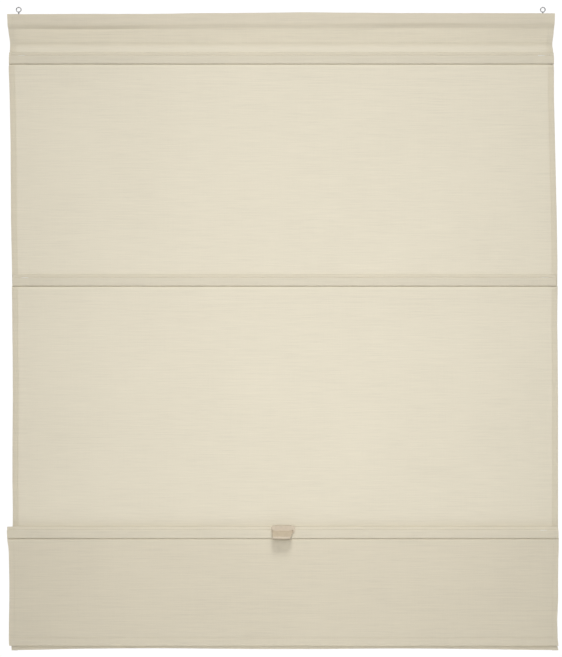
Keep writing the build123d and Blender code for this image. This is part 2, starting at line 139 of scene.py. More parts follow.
def wob2(x, z, seed, sx, sz, octaves=3):
    """The same over a surface."""
    rng = np.random.RandomState(seed)
    total, norm = 0.0, 0.0
    for k in range(octaves):
        a = 0.6 ** k
        for _ in range(3):
            ang = rng.rand() * 2 * math.pi
            fx, fz = math.cos(ang) * (2 ** k) / sx, math.sin(ang) * (2 ** k) / sz
            total = total + a * np.sin(2 * math.pi * (x * fx + z * fz + rng.rand()))
            norm += a
    return total / norm * 1.7


def smooth(a, b, t):
    t = np.clip((np.asarray(t, float) - a) / (b - a), 0, 1)
    return t * t * (3 - 2 * t)


def bump(c, w, t):
    return np.exp(-((np.asarray(t, float) - c) / w) ** 2)


# ------------------------------------------------------------------ meshes
def grid_object(name, pts, material, thick=None):
    """pts is rows x columns x 3. One skin of quads, smooth shaded."""
    r, c = pts.shape[:2]
    me = bpy.data.meshes.new(name)
    idx = np.arange(r * c).reshape(r, c)
    quads = np.stack([idx[:-1, :-1], idx[1:, :-1], idx[1:, 1:], idx[:-1, 1:]], axis=-1).reshape(-1, 4)
    me.from_pydata([tuple(p) for p in pts.reshape(-1, 3)], [], [tuple(int(i) for i in q) for q in quads])
    me.update()
    me.shade_smooth()
    ob = bpy.data.objects.new(name, me)
    scene.collection.objects.link(ob)
    ob.data.materials.append(material)
    return ob


def resample(path, step):
    """Points along a polyline of (y, z), evenly spaced, corners kept soft."""
    p = np.array(path, float)
    seg = np.linalg.norm(np.diff(p, axis=0), axis=1)
    s = np.concatenate([[0], np.cumsum(seg)])
    n = max(2, int(round(s[-1] / step)) + 1)
    t = np.linspace(0, s[-1], n)
    return np.stack([np.interp(t, s, p[:, 0]), np.interp(t, s, p[:, 1])], axis=1)


def rounded(path, radius=0.0008, n=4):
    """The polyline (y, z) with its corners turned into short arcs."""
    p = [np.array(q, float) for q in path]
    out = [p[0]]
    for a, b, c in zip(p[:-2], p[1:-1], p[2:]):
        u, v = a - b, c - b
        lu, lv = np.linalg.norm(u), np.linalg.norm(v)
        if lu < 1e-9 or lv < 1e-9:
            continue
        cut = min(radius, 0.45 * lu, 0.45 * lv)
        s, e = b + u / lu * cut, b + v / lv * cut
        for k in range(n + 1):
            t = k / n
            out.append((1 - t) ** 2 * s + 2 * t * (1 - t) * b + t * t * e)
    out.append(p[-1])
    return np.array(out)


def columns(n_mid, hem_w):
    """Across the cloth, from the left hem's turned-in edge to the right one's: share of the width, distance in from
    the edge, distance in as a share of the hem's thickness, and how far behind the face as a share of it."""
    u = []
    for k in range(5):                      # left hem, behind, from its inner edge out to the fold
        u.append((0.0, hem_w * (1 - k / 4.0), 0.0, 1.0 - 0.25 * (k / 4.0) ** 2))
    for k in range(1, 6):                   # the folded edge
        a = math.pi * k / 6.0
        u.append((0.0, 0.0, -0.4 * math.sin(a), 0.5 * (1 + math.cos(a)) * 0.75))
    m = np.linspace(0, 1, n_mid)
    for k in range(n_mid):
        u.append((m[k], 0.0, 0.0, 0.0))
    for k in range(5, 0, -1):
        a = math.pi * k / 6.0
        u.append((1.0, 0.0, 0.4 * math.sin(a), 0.5 * (1 + math.cos(a)) * 0.75))
    for k in range(4, -1, -1):
        u.append((1.0, -hem_w * (1 - k / 4.0), 0.0, 1.0 - 0.25 * (k / 4.0) ** 2))
    return np.array(u)


def densify(path, step):
    """The polyline with no piece longer than step."""
    p = np.array(path, float)
    out = [p[0]]
    for a, b in zip(p[:-1], p[1:]):
        n = max(1, int(math.ceil(np.linalg.norm(b - a) / step)))
        for k in range(1, n + 1):
            out.append(a + (b - a) * k / n)
    return np.array(out)


def cloth(name, path, left, right, material, n_mid=241, hem_w=HEM, hem_gap=0.0006, shift=None, flip=False):
    """A cloth whose section is path (rows of y, z from its upper end to its lower end), between left and right edges
    given for each row. shift(x, row share, y, z) gives a push (dy, dz, dx) for every point."""
    p = np.array(path, float)
    d = np.gradient(p, axis=0)
    d /= np.maximum(np.linalg.norm(d, axis=1, keepdims=True), 1e-12)
    face = np.stack([d[:, 1], -d[:, 0]], axis=1)      # (y, z) of the face's normal
    if flip:
        face = -face
    u = columns(n_mid, hem_w)
    gap = np.broadcast_to(hem_gap, len(p))[:, None]
    left, right = np.broadcast_to(left, len(p)), np.broadcast_to(right, len(p))
    x = left[:, None] + (right - left)[:, None] * u[None, :, 0] + u[None, :, 1] + gap * u[None, :, 2]
    y = p[:, 0][:, None] - face[:, 0][:, None] * gap * u[None, :, 3]
    z = p[:, 1][:, None] - face[:, 1][:, None] * gap * u[None, :, 3]
    if shift is not None:
        dy, dz, dx = shift(x, np.linspace(0, 1, len(p))[:, None], p[:, 0][:, None] + 0 * x, p[:, 1][:, None] + 0 * x)
        x, y, z = x + dx, y + dy, z + dz
    pts = np.stack([x, y, z], axis=-1)
    ob = grid_object(name, pts, material)
    return ob, pts[:, 10:10 + n_mid], p


def seam_points(pts, row):
    """The cloth's face along one row, as a fine polyline."""
    return pts[row]


def column_points(pts, inset, side):
    """The cloth's face along a line parallel to a side edge."""
    out = []
    for r in range(pts.shape[0]):
        xs = pts[r, :, 0]
        x = xs[0] + inset if side == "left" else xs[-1] - inset
        out.append([x, np.interp(x, xs, pts[r, :, 1]), np.interp(x, xs, pts[r, :, 2])])
    return np.array(out)


STITCH, STITCH_GAP, THREAD_R = 0.0026, 0.0006, 0.00022


def stitches(name, lines, material, lift=0.00018, sides=4, inset_end=0.004):
    """Short threads laid along each line (points, outward direction), like a lockstitch."""
    vs, fs = [], []
    ring = [(math.cos(2 * math.pi * k / sides), math.sin(2 * math.pi * k / sides)) for k in range(sides)]
    for line, out in lines:
        line = np.asarray(line, float)
        seg = np.linalg.norm(np.diff(line, axis=0), axis=1)
        s = np.concatenate([[0], np.cumsum(seg)])
        total = s[-1]
        pitch = STITCH + STITCH_GAP
        n = int((total - 2 * inset_end) / pitch)
        if n < 1:
            continue
        at = inset_end + pitch * np.arange(n)
        prof = [(0.0, 0.35, -0.6), (0.25, 1.0, 0.7), (0.75, 1.0, 0.7), (1.0, 0.35, -0.6)]
        for a in at:
            t = np.array([a + STITCH * q[0] for q in prof])
            c = np.stack([np.interp(t, s, line[:, i]) for i in range(3)], axis=1)
            axis = c[-1] - c[0]
            length = np.linalg.norm(axis)
            if length < 1e-6:
                continue
            axis /= length
            o = np.array(out, float)
            o = o - axis * (o @ axis)
            o /= np.linalg.norm(o)
            b = np.cross(axis, o)
            base = len(vs)
            for (q, rad, up), cc in zip(prof, c):
                m = cc + o * (lift + THREAD_R * 0.5 * up)
                for ca, sa in ring:
                    vs.append(tuple(m + (b * ca + o * sa) * THREAD_R * rad))
            for k in range(len(prof) - 1):
                for j in range(sides):
                    j2 = (j + 1) % sides
                    fs.append((base + k * sides + j, base + k * sides + j2, base + (k + 1) * sides + j2, base + (k + 1) * sides + j))
            fs.append(tuple(base + j for j in range(sides))[::-1])
            fs.append(tuple(base + (len(prof) - 1) * sides + j for j in range(sides)))
    me = bpy.data.meshes.new(name)
    me.from_pydata(vs, [], fs)
    me.update()
    me.shade_smooth()
    ob = bpy.data.objects.new(name, me)
    scene.collection.objects.link(ob)
    ob.data.materials.append(material)
    return ob


# --------------------------------------------------------------- materials
def new_material(name):
    m = bpy.data.materials.new(name)
    m.use_nodes = True
    nt = m.node_tree
    nt.nodes.clear()
    out = nt.nodes.new("ShaderNodeOutputMaterial")
    return m, nt, out


def node(nt, kind, **values):
    n = nt.nodes.new(kind)
    for k, v in values.items():
        if k in n.inputs:
            n.inputs[k].default_value = v
        else:
            setattr(n, k, v)
    return n


def noise(nt, vec, scale, detail=3.0, rough=0.5, stretch=None):
    mp = nt.nodes.new("ShaderNodeMapping")
    mp.inputs["Scale"].default_value = stretch or (1, 1, 1)
    nt.links.new(vec, mp.inputs["Vector"])
    n = nt.nodes.new("ShaderNodeTexNoise")
    n.inputs["Scale"].default_value = scale
    n.inputs["Detail"].default_value = detail
    n.inputs["Roughness"].default_value = rough
    nt.links.new(mp.outputs["Vector"], n.inputs["Vector"])
    return n.outputs["Fac"]


def math_node(nt, op, a, b=None, c=None, clamp=False):
    n = nt.nodes.new("ShaderNodeMath")
    n.operation = op
    n.use_clamp = clamp
    for i, v in enumerate((a, b, c)):
        if v is None:
            continue
        if hasattr(v, "links") or hasattr(v, "is_linked"):
            nt.links.new(v, n.inputs[i])
        else:
            n.inputs[i].default_value = v
    return n.outputs[0]


def ramp(nt, fac, stops):
    r = nt.nodes.new("ShaderNodeValToRGB")
    el = r.color_ramp.elements
    while len(el) > 1:
        el.remove(el[-1])
    el[0].position, el[0].color = stops[0][0], (*stops[0][1], 1)
    for pos, col in stops[1:]:
        e = el.new(pos)
        e.color = (*col, 1)
    nt.links.new(fac, r.inputs["Fac"])
    return r.outputs["Color"]


def scaled(c, k):
    return tuple(max(0.0, min(1.0, v * k)) for v in c)


CLOTH = (0.775, 0.715, 0.578)
CLOTH_THROUGH = (0.86, 0.80, 0.63)
LET_THROUGH = 0.20


def cloth_material(name, tint=CLOTH, through=CLOTH_THROUGH, share=LET_THROUGH, slub=1.0):
    m, nt, out = new_material(name)
    co = nt.nodes.new("ShaderNodeTexCoord").outputs["Object"]
    # weft slubs: long thin streaks across, in two sizes, and a fainter set of warp streaks
    weft = noise(nt, co, 1.0, 3.0, 0.62, (26.0, 300.0, 950.0))
    weft2 = noise(nt, co, 1.0, 2.0, 0.5, (9.0, 200.0, 380.0))
    warp = noise(nt, co, 1.0, 2.0, 0.5, (1300.0, 300.0, 14.0))
    cloud = noise(nt, co, 1.0, 3.0, 0.55, (5.0, 9.0, 6.0))
    a = math_node(nt, "MULTIPLY", weft, 0.46)
    b = math_node(nt, "MULTIPLY_ADD", weft2, 0.26, a)
    c = math_node(nt, "MULTIPLY_ADD", warp, 0.12, b)
    d = math_node(nt, "MULTIPLY_ADD", cloud, 0.16, c)
    col = ramp(nt, d, [(0.30, scaled(tint, 1 - 0.085 * slub)), (0.46, scaled(tint, 1 - 0.012 * slub)),
                       (0.54, scaled(tint, 1 + 0.012 * slub)), (0.70, scaled(tint, 1 + 0.06 * slub))])
    col2 = ramp(nt, d, [(0.32, scaled(through, 1 - 0.11 * slub)), (0.5, through), (0.68, scaled(through, 1 + 0.06 * slub))])
    # the weave itself, for close views: over-and-under threads
    wx = node(nt, "ShaderNodeTexWave", wave_type="BANDS", bands_direction="X")
    wx.inputs["Scale"].default_value = 320.0
    wx.inputs["Distortion"].default_value = 1.6
    wx.inputs["Detail"].default_value = 2.0
    wx.inputs["Detail Scale"].default_value = 0.35
    wz = node(nt, "ShaderNodeTexWave", wave_type="BANDS", bands_direction="Z")
    wz.inputs["Scale"].default_value = 360.0
    wz.inputs["Distortion"].default_value = 1.6
    wz.inputs["Detail"].default_value = 2.0
    wz.inputs["Detail Scale"].default_value = 0.35
    nt.links.new(co, wx.inputs["Vector"])
    nt.links.new(co, wz.inputs["Vector"])
    weave = math_node(nt, "MULTIPLY", wx.outputs["Fac"], wz.outputs["Fac"])
    height = math_node(nt, "MULTIPLY_ADD", weft, 1.1, math_node(nt, "MULTIPLY", weave, 0.5))
    bp = nt.nodes.new("ShaderNodeBump")
    bp.inputs["Strength"].default_value = 0.35
    bp.inputs["Distance"].default_value = 0.00035
    nt.links.new(height, bp.inputs["Height"])
    p = nt.nodes.new("ShaderNodeBsdfPrincipled")
    p.inputs["Roughness"].default_value = 0.88
    p.inputs["Specular IOR Level"].default_value = 0.22
    p.inputs["Sheen Weight"].default_value = 0.12
    p.inputs["Sheen Roughness"].default_value = 0.5
    nt.links.new(col, p.inputs["Base Color"])
    nt.links.new(bp.outputs["Normal"], p.inputs["Normal"])
    t = nt.nodes.new("ShaderNodeBsdfTranslucent")
    nt.links.new(col2, t.inputs["Color"])
    nt.links.new(bp.outputs["Normal"], t.inputs["Normal"])
    mx = nt.nodes.new("ShaderNodeMixShader")
    mx.inputs["Fac"].default_value = share
    nt.links.new(p.outputs["BSDF"], mx.inputs[1])
    nt.links.new(t.outputs["BSDF"], mx.inputs[2])
    nt.links.new(mx.outputs["Shader"], out.inputs["Surface"])
    return m


def solid_material(name, stops, scale, stretch, rough, spec=0.5, metallic=0.0, bump_d=0.0, bump_s=0.3, coat=0.0, aniso=0.0,
                   detail=3.0):
    m, nt, out = new_material(name)
    co = nt.nodes.new("ShaderNodeTexCoord").outputs["Object"]
    n = noise(nt, co, scale, detail, 0.55, stretch)
    p = nt.nodes.new("ShaderNodeBsdfPrincipled")
    nt.links.new(ramp(nt, n, stops), p.inputs["Base Color"])
    rr = nt.nodes.new("ShaderNodeMapRange")
    rr.inputs["From Min"].default_value, rr.inputs["From Max"].default_value = 0.3, 0.7
    rr.inputs["To Min"].default_value, rr.inputs["To Max"].default_value = rough[0], rough[1]
    nt.links.new(n, rr.inputs["Value"])
    nt.links.new(rr.outputs["Result"], p.inputs["Roughness"])
    p.inputs["Metallic"].default_value = metallic
    p.inputs["Specular IOR Level"].default_value = spec
    if coat:
        p.inputs["Coat Weight"].default_value = coat
        p.inputs["Coat Roughness"].default_value = 0.25
    if aniso:
        p.inputs["Anisotropic"].default_value = aniso
    if bump_d:
        bp = nt.nodes.new("ShaderNodeBump")
        bp.inputs["Strength"].default_value = bump_s
        bp.inputs["Distance"].default_value = bump_d
        fine = noise(nt, co, scale * 3.0, 2.0, 0.6, stretch)
        nt.links.new(fine, bp.inputs["Height"])
        nt.links.new(bp.outputs["Normal"], p.inputs["Normal"])
    nt.links.new(p.outputs["BSDF"], out.inputs["Surface"])
    return m


CLOTH_MAT = cloth_material("beige_weave")
# thread colour set a little darker than the cloth: the thread's own tone plus painted shade standing in for the shallow
# furrow along each stitch row
THREAD_MAT = solid_material("sewing_thread", [(0.3, (0.66, 0.605, 0.485)), (0.7, (0.745, 0.69, 0.56))], 900.0, (1, 1, 1),
                            (0.7, 0.85), 0.3)
PULL_MAT = solid_material("tan_moulding", [(0.30, (0.510, 0.428, 0.317)), (0.5, (0.536, 0.452, 0.336)), (0.70, (0.562, 0.476, 0.356))],
                          220.0, (1, 1, 1), (0.38, 0.50), 0.5, bump_d=0.00005, bump_s=0.25, coat=0.08)
METAL_MAT = solid_material("plated_wire_metal", [(0.3, (0.36, 0.36, 0.37)), (0.7, (0.48, 0.48, 0.49))], 500.0, (1, 1, 1),
                           (0.34, 0.48), 0.5, metallic=1.0, bump_d=0.00003, bump_s=0.2)
WOOD_MAT = solid_material("planed_softwood", [(0.28, (0.50, 0.34, 0.19)), (0.5, (0.66, 0.49, 0.30)), (0.72, (0.76, 0.60, 0.40))],
                          1.0, (5.0, 160.0, 260.0), (0.5, 0.7), 0.4, bump_d=0.0002, bump_s=0.3)
ROD_MAT = solid_material("satin_flat_bar", [(0.3, (0.70, 0.70, 0.71)), (0.7, (0.82, 0.82, 0.83))], 1.0, (8.0, 900.0, 1400.0),
                         (0.28, 0.42), 0.5, metallic=1.0, bump_d=0.00003, bump_s=0.3, aniso=0.4)
MAGNET_MAT = solid_material("nickel_disc", [(0.3, (0.62, 0.60, 0.56)), (0.7, (0.74, 0.72, 0.68))], 600.0, (1, 1, 1),
                            (0.14, 0.26), 0.5, metallic=1.0)
CAP_MAT = solid_material("soft_cap", [(0.3, (0.80, 0.79, 0.75)), (0.7, (0.88, 0.87, 0.83))], 300.0, (1, 1, 1),
                         (0.45, 0.6), 0.4, bump_d=0.00004, bump_s=0.25)


def give(node_name, material):
    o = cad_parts[node_name]
    if not isinstance(o, bpy.types.Object):
        o = bpy.data.objects[node_name]
    for s in o.material_slots:
        s.material = material


for n in range(1, 5):
    give(f"rod_{n}", ROD_MAT)
    give(f"rod_{n}_magnets", MAGNET_MAT)
    give(f"rod_{n}_end_caps", CAP_MAT)
give("top_batten", WOOD_MAT)
give("screw_eye_left", METAL_MAT)
give("screw_eye_right", METAL_MAT)
give("handle", PULL_MAT)


# --------------------------------------------------------------- the cloth
def tuck_path(g, y0):
    """The tuck standing up in front of a seam at height g: up its inner layer, over the top, down the outer layer and
    round the flat bar to the seam again."""
    pts = [(y0 - 0.0008, g + 0.0003), (y0 - 0.0009, g + 0.0100), (y0 - 0.0009, g + 0.0170), (y0 - 0.0008, g + 0.0213),
           (y0 - 0.0011, g + TUCK - 0.0001), (y0 - 0.0017, g + TUCK), (y0 - 0.0022, g + TUCK - 0.0006),
           (y0 - 0.0023, g + 0.0190), (y0 - 0.0023, g + 0.0173), (y0 - 0.0029, g + 0.0167), (y0 - 0.0042, g + 0.0162),
           (y0 - 0.0047, g + 0.0150), (y0 - 0.0049, g + 0.0120), (y0 - 0.0051, g + 0.0060), (y0 - 0.0051, g + 0.0030),
           (y0 - 0.0047, g + 0.0012), (y0 - 0.0028, g + 0.0003), (y0 - 0.0011, g + 0.0001)]
    return rounded(pts, 0.0011, 4)


def panel_shift(z_top, z_bot, seed, amp=0.0009, y_at=None):
    """Gentle waves that die out at the seams above and below."""
    def shift(x, s, y, z):
        span = smooth(0.0, 0.05, (z_top - z)) * smooth(0.0, 0.06, (z - z_bot))
        w = wob2(x, z, seed, 0.46, 0.62) * 0.65 + wob2(x, z, seed + 5, 0.17, 0.40, 2) * 0.35
        return amp * w * span, 0 * x, 0 * x
    return shift


def lean(x, y, z, g, by):
    """The flat upper edge of a tuck leans by this much, except where the pull clips over it."""
    hx = (HAND_LO[0] + HAND_HI[0]) / 2
    return by * smooth(g + 0.0168, g + TUCK, z) * smooth(0.017, 0.040, np.abs(x - hx)) * (1 + 0.18 * wob(x, 93, 0.3, 3))


PIECES = {}


def sew(name, ob, pts, lines, with_ride):
    st = stitches(name, lines, THREAD_MAT)
    with_ride(st)
    PIECES[name] = st
    return st


FRONT, BACK = (0, -1, 0), (0, 1, 0)


def row_at(p, z, y_below=None):
    """The row of the section nearest a height, on the layer in front where y_below is given."""
    d = np.abs(p[:, 1] - z)
    if y_below is not None:
        d = d + 10.0 * (p[:, 0] > y_below)
    return int(np.argmin(d))


# 1. the header: a sleeve round the batten, closed by the crease seam, then the cloth down to and round the first tuck
def header_path():
    back = [(0.0014, -0.0665), (0.0013, CREASE), (0.0022, -0.052), (0.0046, -0.036), (0.0060, -0.0275),
            (0.0060, TOP - 0.0016), (0.0046, TOP), (-0.0046, TOP), (-0.0060, TOP - 0.0016), (-0.0059, -0.0240),
            (-0.0056, -0.0268), (-0.0047, -0.0292), (-0.0022, -0.0348), (-0.0015, -0.0430), (-0.0012, -0.0530),
            (-0.0008, CREASE + 0.0010),
            (-0.0004, CREASE - 0.0012), (0.0, CREASE - 0.006), (0.0, G1 + 0.0010), (-0.0003, G1 + 0.0001)]
    return densify(np.concatenate([rounded(back, 0.0016, 5), tuck_path(G1, 0.0), [(-0.0003, G1 - 0.0004)]]), 0.0040)


p = header_path()
rows_z = p[:, 1]
HP = p


def header_shift(x, s, y, z):
    front = (y < -0.0005) & (z > CREASE - 0.02)
    # the sleeve's upper edge dips over the batten's ends
    up = smooth(-0.020, TOP, z)
    dips = lerp_table(-x, [(0.50, -0.0026), (0.46, -0.0031), (0.405, -0.0026), (0.33, -0.0025), (0.24, -0.0026), (0.15, -0.0011),
                           (0.075, -0.0008), (0.0, 0.0000), (-0.034, 0.0005), (-0.125, -0.0002), (-0.217, -0.0009),
                           (-0.30, -0.0010), (-0.40, -0.0010), (-0.47, -0.0013), (-0.50, -0.0014)])
    dz = up * (dips + 0.00015 * wob(x, 3, 0.11))
    # slack below the batten: the cloth sags in, unevenly
    sag = bump(-0.0345, 0.0058, z) * front
    deep = 0.22 + 0.78 * (bump(-0.35, 0.13, x) + 0.75 * bump(0.26, 0.10, x)) + 0.14 * wob(x, 11, 0.16, 3)
    deep = deep * (0.55 + 0.45 * smooth(0.0, 0.06, x - HEAD_LO[0]) * smooth(0.0, 0.06, HEAD_HI[0] - x))
    dy = sag * (0.0024 * deep - 0.0004)
    dz = dz - front * bump(-0.0300, 0.0060, z) * 0.0022 * (bump(-0.35, 0.16, x) - 0.5 * bump(0.26, 0.16, x))
    dy = dy - front * bump(-0.050, 0.010, z) * 0.0007 * wob(x, 17, 0.11, 3)
    # where the sleeve's foot is pinched by the seam, small puckers run up and down from it
    puck = np.exp(-np.abs(z - CREASE) / 0.006) * (1 - bump(CREASE, 0.0012, z))
    dy = dy - 0.00022 * puck * np.sin(2 * math.pi * (x / 0.0085 + 0.6 * wob(x, 23, 0.05, 2))) * (0.5 + 0.5 * wob(x, 29, 0.09, 2))
    low = (z < CREASE - 0.003) & (y > -0.0004) & (z > G1 + 0.004)
    dy = dy + low * 0.0002 * wob(x, 31, 0.2)
    # the bar makes the tuck's face slightly uneven along its length
    bulge = (y < -0.0040) & (z < CREASE)
    dy = dy - bulge * 0.00022 * wob(x, 37, 0.12, 3)
    dzt = (z < G1 + TUCK + 0.001) * (z > G1 + TUCK - 0.006) * (y < -0.0006) * 0.00028 * wob(x, 41, 0.19, 3)
    return dy, dz + dzt, 0 * x


def head_edges(z, y):
    left, right = edge_left(z), edge_right(z)
    return left, right


left, right = head_edges(p[:, 1], p[:, 0])
back_rows = (p[:, 0] > 0.0008) & (p[:, 1] > -0.07)
left = np.where(back_rows, left + 0.0006, left)
right = np.where(back_rows, right - 0.0006, right)
in_tuck = (p[:, 1] < G1 + TUCK + 0.001) & (p[:, 1] > G1) & (p[:, 0] < -0.0005)
left = np.where(in_tuck, edge_left(G1), left)
right = np.where(in_tuck, edge_right(G1) + 0.0002, right)
gap = np.where(in_tuck, 0.00035, 0.0006)
header, hpts, hp = cloth("header_and_first_tuck", p, left, right, CLOTH_MAT, n_mid=301, hem_gap=gap, shift=header_shift)
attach(header, "head")
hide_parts("header_cloth")


def ride_on(body):
    return lambda ob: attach(ob, body)


def blend_on():
    return lambda ob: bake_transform(ob)


def rows_between(pts, keep):
    return pts[keep]


on_front = np.arange(len(hp)) > row_at(hp, TOP, -0.003)
side_rows = on_front & (hp[:, 1] > G1 + TUCK + 0.001) & (hp[:, 1] < TOP - 0.002)
tuck_front = on_front & (hp[:, 0] < -0.0016) & (hp[:, 1] < G1 + TUCK - 0.001) & (hp[:, 1] > G1 + 0.001) & (np.arange(len(hp)) > row_at(hp, G1 + TUCK))
back_side = (np.arange(len(hp)) < row_at(hp, TOP, -0.003)) & (hp[:, 0] > 0.001) & (hp[:, 1] < TOP - 0.002)
edge_row = row_at(hp, G1 + 0.0173, -0.0018)
crease_row = row_at(hp[:], CREASE + 0.0012, -0.0003)
hs = sew("header_stitches", header, hpts, [
    (hpts[crease_row], FRONT), (hpts[edge_row], FRONT),
    (column_points(hpts[side_rows], 0.0095, "left"), FRONT), (column_points(hpts[side_rows], 0.0095, "right"), FRONT),
    (hpts[row_at(hp, CREASE + 0.0012)] + [0, 0.0001, 0], BACK),
], ride_on("head"))


# 2. the upper panel
def panel(name, z0, z1, y1, seed, node_name, stitch_name, n_mid=181):
    q = densify([(-0.0006, z0 - 0.0002), (-0.0028, z0 - 0.0003), (-0.0035, z0 - 0.0010), (-0.0036, z0 - 0.0050),
                 (-0.0022, z0 - 0.0220), (-0.0008, z0 - 0.0450), (0.0, z0 - 0.0700), (0.0, z1 + 0.0012), (-0.0003, z1 + 0.0001), (-0.0008, z1 + 0.0003)], 0.0050)
    lf, rt = edge_left(q[:, 1]), edge_right(q[:, 1])
    ob, pts, q = cloth(name, q, lf, rt, CLOTH_MAT, n_mid=n_mid, shift=panel_shift(z0, z1, seed))
    lines = [(column_points(pts[1:-2], 0.0095, "left"), FRONT), (column_points(pts[1:-2], 0.0095, "right"), FRONT),
             (column_points(pts[1:-2], 0.0095, "left") + [0, 0.0006, 0], BACK),
             (column_points(pts[1:-2], 0.0095, "right") + [0, 0.0006, 0], BACK)]
    put = blend_on()
    st = stitches(stitch_name, lines, THREAD_MAT)
    put(st)
    put(ob)
    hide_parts(node_name)
    return ob


upper = panel("upper_cloth", G1, G2, 0, 101, "upper_panel",
              "upper_cloth_stitches")


def tuck(name, g, y0, body, node_name, inset, stitch_name, seed, forward=0.0):
    q = densify(np.concatenate([tuck_path(g, y0), [(y0 - 0.0004, g - 0.0003)]]), 0.0040)
    lf, rt = edge_left(g) + inset[0], edge_right(g) - inset[1]

    def shift(x, s, y, z):
        bulge = (y < y0 - 0.0040)
        dy = -1.0 * bulge * 0.00022 * wob(x, seed, 0.12, 3)
        top = (z > g + TUCK - 0.006)
        dy = dy + lean(x, y, z, g, forward)
        return dy, top * 0.00028 * wob(x, seed + 4, 0.19, 3), 0 * x
    ob, pts, q = cloth(name, q, lf, rt, CLOTH_MAT, n_mid=301, hem_gap=0.00035, shift=shift)
    edge = row_at(q, g + 0.0173, y0 - 0.0018)
    st = stitches(stitch_name, [(pts[edge], FRONT), (pts[0] + [0, 0.0012, 0.0002], BACK)], THREAD_MAT)
    for o in (ob, st):
        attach(o, body)
    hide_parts(node_name)
    return ob


tuck2 = tuck("second_tuck", G2, 0.0, "middle_bar", "tuck_2", (0.0010, 0.0030), "second_tuck_stitches", 51)
middle = panel("middle_cloth", G2, G3, 0, 131, "middle_panel",
               "middle_cloth_stitches")
tuck3 = tuck("third_tuck", G3, 0.0, "lower_bar", "tuck_3", (0.0012, 0.0046), "third_tuck_stitches", 61)


# 6. the fold below: the cloth hangs from the third tuck, turns, and rises to the fourth
def unsmooth(s):
    """t with t*t*(3-2t) = s."""
    s = np.clip(np.asarray(s, float), 0, 1)
    return 0.5 - np.sin(np.arcsin(1 - 2 * s) / 3.0)


LOOP_FRONT = -0.0065
r = 0.0028
back = [(0.0, G3 - 0.0003)] + [(0.0007 * math.sin(math.pi * t) + 0.0009 * t * t, G3 - 0.002 - (G3 - 0.002 - LOOP_END - r) * t)
                               for t in np.linspace(0, 1, 40)]
turn = [(0.00023 + 0.00067 * math.cos(a), LOOP_END + r + r * -math.sin(a)) for a in np.linspace(0.15, math.pi - 0.15, 12)]
rise = []
for t in np.linspace(0, 1, 44):
    zz = LOOP_END + r + (G4 + 0.0002 - LOOP_END - r) * t
    share = (zz - LOOP_END) / (G4 - LOOP_END)
    rise.append((LOOP_FRONT * float(unsmooth(share)), zz))
rise = [q for q in rise]
q = np.array(back + turn + rise)
lf = np.full(len(q), LOOP_LO[0])
rt = np.full(len(q), LOOP_HI[0])
is_back = np.arange(len(q)) < len(back)
right_line = [(G3, T3_HI[0]), (-1.006, 0.5046), (-1.042, 0.5042), (-1.078, 0.5040), (-1.115, 0.5028), (-1.151, 0.5038),
              (-1.1636, 0.5055), (LOOP_END + 0.002, LOOP_HI[0] - 0.0002), (LOOP_END, LOOP_HI[0])]
left_line = [(G3, edge_left(G3)), (-1.06, LOOP_LO[0]), (LOOP_END, LOOP_LO[0])]
lf = lerp_table(q[:, 1], left_line)
rt = lerp_table(q[:, 1], right_line)


def loop_shift(x, s, y, z):
    low = smooth(-1.125, LOOP_END, z)
    ends = np.clip(smooth(0.13, 0.0, x - LOOP_LO[0]) + smooth(0.16, 0.0, LOOP_HI[0] - x), 0, 1)
    dz = low * (1 - ends) * (0.0025 - 0.0004 * smooth(0.0, 0.1, x) - 0.0007 * np.cos(2 * math.pi * (x + 0.01) / 0.457))
    return 0 * x, np.maximum(dz, 0.0), 0 * x


loop, lpts, lq = cloth("fold_cloth", q, lf, rt, CLOTH_MAT, n_mid=201, hem_gap=0.0006, shift=loop_shift)
lines = [(column_points(lpts[1:len(back) - 3], 0.0095, "left") + [0, 0.0006, 0], BACK),
         (column_points(lpts[1:len(back) - 3], 0.0095, "right") + [0, 0.0006, 0], BACK)]
loop_st = stitches("fold_cloth_stitches", lines, THREAD_MAT)
for o in (loop, loop_st):
    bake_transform(o)
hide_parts("fold_loop")


# 7. the fourth tuck with the plain skirt under it, ending in a turned-up hem
HEM_B = 0.016
sk = [(PLANE4 - 0.0009, G4 - 0.0003), (PLANE4 - 0.0028, G4 - 0.0004), (PLANE4 - 0.0035, G4 - 0.0012), (PLANE4 - 0.0036, G4 - 0.0050),
      (PLANE4 - 0.0022, -1.005), (PLANE4 - 0.0012, -1.035), (-0.0080, -1.08), (-0.0056, -1.125), (-0.0045, SKIRT_END + HEM_B - 0.0005),
      (-0.0040, SKIRT_END + 0.0018), (-0.0039, SKIRT_END + 0.0004), (-0.0035, SKIRT_END), (-0.0031, SKIRT_END + 0.0004),
      (-0.0030, SKIRT_END + 0.0018), (-0.0034, SKIRT_END + HEM_B)]
q = densify(np.concatenate([tuck_path(G4, PLANE4), rounded(sk, 0.0004, 2)]), 0.0042)
SL, SR = SK_LO[0], SK_HI[0]
SK_L = [(G4 + TUCK, SL + 0.0002), (G4 + 0.011, SL + 0.0002), (G4 + 0.0055, SL + 0.0006), (G4 - 0.0022, SL + 0.0006), (-0.976, SL + 0.0017),
        (-0.983, SL + 0.0026), (-0.991, SL + 0.0032), (-1.005, SL + 0.0034), (-1.042, SL + 0.0039), (-1.078, SL + 0.0037),
        (-1.115, SL + 0.0027), (-1.151, SL + 0.0020), (SKIRT_END, SL + 0.0026)]
SK_R = [(G4 + TUCK, SR - 0.0003), (G4, SR + 0.0000), (-0.969, SR + 0.0003), (-0.983, SR + 0.0004), (-0.991, SR + 0.0002),
        (-1.005, SR - 0.0003), (-1.042, SR - 0.0005), (-1.078, SR - 0.0002), (-1.115, SR - 0.0014), (-1.151, SR - 0.0002),
        (SKIRT_END, SR + 0.0015)]
lf, rt = lerp_table(q[:, 1], SK_L), lerp_table(q[:, 1], SK_R)


